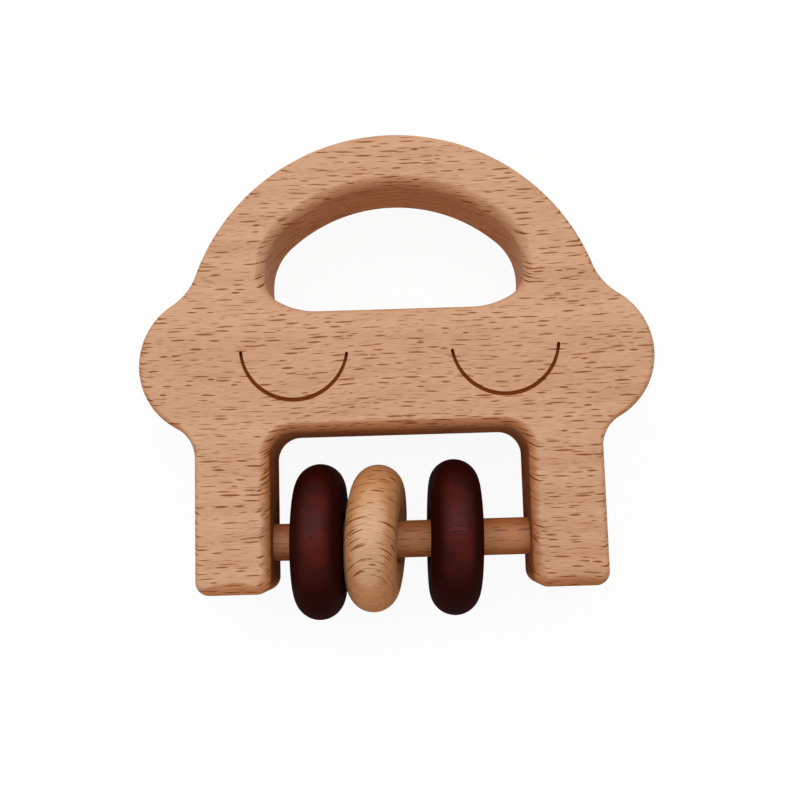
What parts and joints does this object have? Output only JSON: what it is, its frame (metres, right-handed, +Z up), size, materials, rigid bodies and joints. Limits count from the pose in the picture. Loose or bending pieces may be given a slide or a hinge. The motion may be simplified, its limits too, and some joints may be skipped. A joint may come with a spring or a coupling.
{
  "type": "teether rattle",
  "caption": "Flat beech teether rattle with a domed handle, round side lobes, engraved closed eyes and loose wooden rings on a bar between its legs.",
  "frame": {"origin": "under the middle of the whole rattle as it lies on its back, level with the lowest point of the rings", "axes": "+X along the bar, to the right as seen from the front; +Y towards the domed handle; +Z up, out of the front face"},
  "size_m": [0.1064, 0.1012, 0.0324],
  "materials": {
    "beech_board": "oiled satin",
    "beech_bar": "oiled satin",
    "pale_beech": "satin lacquer",
    "dark_stain": "stained, satin lacquer"
  },
  "bodies": {
    "rattle": {"frame": "beech_board", "bar": "beech_bar"},
    "left_ring": {"ring_left": "dark_stain"},
    "middle_ring": {"ring_middle": "pale_beech"},
    "right_ring": {"ring_right": "dark_stain"}
  },
  "joints": [
    {"name": "left_ring_slide", "type": "slide", "parent": "rattle", "child": "left_ring", "axis": [1, 0, 0], "range_m": [-0.00385, 0]},
    {"name": "middle_ring_slide", "type": "slide", "parent": "rattle", "child": "middle_ring", "axis": [1, 0, 0], "range_m": [0, 0.002]},
    {"name": "right_ring_slide", "type": "slide", "parent": "rattle", "child": "right_ring", "axis": [1, 0, 0], "range_m": [-0.002, 0.0096]}
  ]
}
